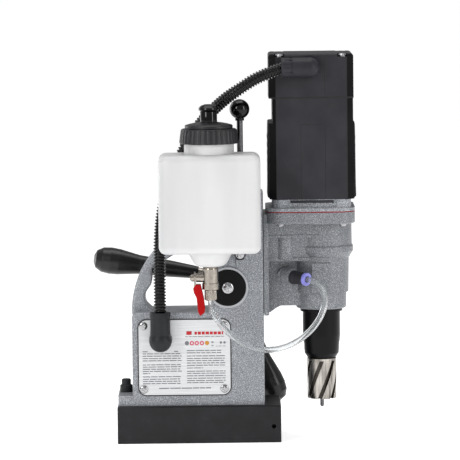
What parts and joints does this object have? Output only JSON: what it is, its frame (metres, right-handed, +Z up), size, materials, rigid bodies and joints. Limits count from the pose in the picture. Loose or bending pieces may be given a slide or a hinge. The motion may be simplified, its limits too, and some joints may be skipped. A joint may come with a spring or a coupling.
{
  "type": "magnetic drill press",
  "caption": "Magnetic drill press: a column on a magnet block carries a sliding geared motor with an annular cutter, capstan feed and coolant tank.",
  "frame": {"origin": "centre of the magnet's bottom face", "axes": "+X from the column towards the spindle, +Y to the side with the feed capstan and the control panel, +Z up"},
  "size_m": [0.2612, 0.1964, 0.3792],
  "materials": {
    "black_steel": "satin",
    "potting": "matte",
    "hammertone": "hammertone",
    "machined_steel": "satin",
    "screw_steel": "bright",
    "silver_plate": "brushed",
    "black_rubber": "matte",
    "bronze": "satin",
    "black_plastic": "fine grain",
    "gloss_black": "gloss",
    "tank_white": "translucent",
    "nickel": "polished",
    "clear_hose": "clear",
    "red_paint": "gloss",
    "red_gasket": "matte",
    "green_plastic": "gloss",
    "blue_plastic": "gloss",
    "winding": "varnished",
    "carbon": "matte"
  },
  "bodies": {
    "stand": {"magnet_base": "black_steel", "magnet_coils": "potting", "column_casting": "hammertone", "gib_strip": "machined_steel", "gib_screws": "screw_steel", "name_plate": "silver_plate", "name_plate_screws": "screw_steel", "lower_conduit_elbow": "black_rubber", "cable_conduit": "black_rubber", "cable_gland": "black_rubber", "feed_bushes": "bronze", "control_panel": "black_plastic", "control_panel_screws": "screw_steel", "tank_bracket": "black_steel", "tank_bracket_screws": "screw_steel", "coolant_tank": "tank_white", "valve_body": "nickel", "hose_nut": "nickel", "coolant_hose": "clear_hose"},
    "carriage": {"slide_rail": "machined_steel", "feed_rack": "machined_steel", "gear_housing": "hammertone", "housing_gasket": "red_gasket", "gearbox_cover": "hammertone", "flange_screws": "screw_steel", "motor_housing": "black_plastic", "motor_side_covers": "black_plastic", "motor_top_cap": "black_plastic", "motor_cap_screws": "screw_steel", "motor_stator": "machined_steel", "carbon_brushes": "carbon", "upper_conduit_elbow": "black_rubber", "hose_fitting": "black_plastic", "gearbox_bearings": "machined_steel"},
    "armature": {"armature_shaft": "machined_steel", "armature_core": "winding", "cooling_fan": "black_plastic"},
    "idler": {"idler_gears": "machined_steel"},
    "spindle": {"spindle": "machined_steel", "spindle_gear": "machined_steel", "arbor": "black_steel", "arbor_set_screws": "screw_steel", "annular_cutter": "machined_steel"},
    "pilot": {"pilot_pin": "machined_steel", "ejector_spring": "screw_steel"},
    "feed": {"feed_pinion": "machined_steel", "capstan_hub": "nickel", "spoke_rods": "nickel", "spoke_grips": "gloss_black", "pinion_disc": "black_plastic", "pinion_disc_screw": "screw_steel"},
    "valve_lever": {"valve_lever": "red_paint"},
    "tank_cap": {"tank_cap": "black_plastic"},
    "vent_plug": {"vent_plug": "gloss_black"},
    "tank_pin": {"tank_pin": "screw_steel", "pin_knob": "gloss_black"},
    "magnet_rocker": {"magnet_rocker": "black_plastic"},
    "start_button": {"start_button": "green_plastic"},
    "stop_button": {"stop_button": "red_paint"},
    "fitting_collar": {"fitting_collar": "blue_plastic"}
  },
  "joints": [
    {"name": "carriage_slide", "type": "slide", "parent": "stand", "child": "carriage", "axis": [0, 0, 1], "range_m": [-0.087, 0.02], "deforming": ["cable_conduit", "coolant_hose"]},
    {"name": "feed_turn", "type": "hinge", "parent": "stand", "child": "feed", "pos_m": [0.0292, 0, 0.152], "axis": [0, 1, 0], "range_deg": [-90, 360]},
    {"name": "armature_spin", "type": "hinge", "parent": "carriage", "child": "armature", "pos_m": [0.1122, 0, 0.3], "axis": [0, 0, 1], "continuous": true},
    {"name": "idler_spin", "type": "hinge", "parent": "carriage", "child": "idler", "pos_m": [0.1166, 0.01745, 0.2], "axis": [0, 0, 1], "continuous": true},
    {"name": "spindle_spin", "type": "hinge", "parent": "carriage", "child": "spindle", "pos_m": [0.121, 0, 0.15], "axis": [0, 0, 1], "continuous": true},
    {"name": "pilot_slide", "type": "slide", "parent": "spindle", "child": "pilot", "axis": [0, 0, 1], "range_m": [0, 0.03], "stiffness_N_per_m": 400, "springref_m": -0.01, "deforming": ["ejector_spring"]},
    {"name": "valve_turn", "type": "hinge", "parent": "stand", "child": "valve_lever", "pos_m": [0.0127, -0.078, 0.1664], "axis": [1, 0, 0], "range_deg": [-90, 0]},
    {"name": "cap_turn", "type": "hinge", "parent": "stand", "child": "tank_cap", "pos_m": [0.0127, -0.078, 0.3], "axis": [0, 0, 1], "range_deg": [-90, 360]},
    {"name": "vent_pull", "type": "slide", "parent": "tank_cap", "child": "vent_plug", "axis": [0, 0, 1], "range_m": [0, 0.006]},
    {"name": "pin_pull", "type": "slide", "parent": "stand", "child": "tank_pin", "axis": [0, 0, 1], "range_m": [0, 0.055]},
    {"name": "magnet_switch", "type": "hinge", "parent": "stand", "child": "magnet_rocker", "pos_m": [-0.037, 0.0334, 0.083], "axis": [1, 0, 0], "range_deg": [0, 8]},
    {"name": "start_press", "type": "slide", "parent": "stand", "child": "start_button", "axis": [0, -1, 0], "range_m": [0, 0.0015], "stiffness_N_per_m": 800, "springref_m": -0.001},
    {"name": "stop_press", "type": "slide", "parent": "stand", "child": "stop_button", "axis": [0, -1, 0], "range_m": [0, 0.0015], "stiffness_N_per_m": 800, "springref_m": -0.001},
    {"name": "collar_press", "type": "slide", "parent": "carriage", "child": "fitting_collar", "axis": [-0.7207, 0.6907, 0.0601], "range_m": [0, 0.001], "stiffness_N_per_m": 800, "springref_m": -0.001}
  ],
  "couplings": [
    {"joint": "feed_turn", "follows": "carriage_slide", "rad_per_m": -71.429},
    {"joint": "idler_spin", "follows": "armature_spin", "ratio": -0.33333},
    {"joint": "spindle_spin", "follows": "armature_spin", "ratio": 0.16667}
  ]
}
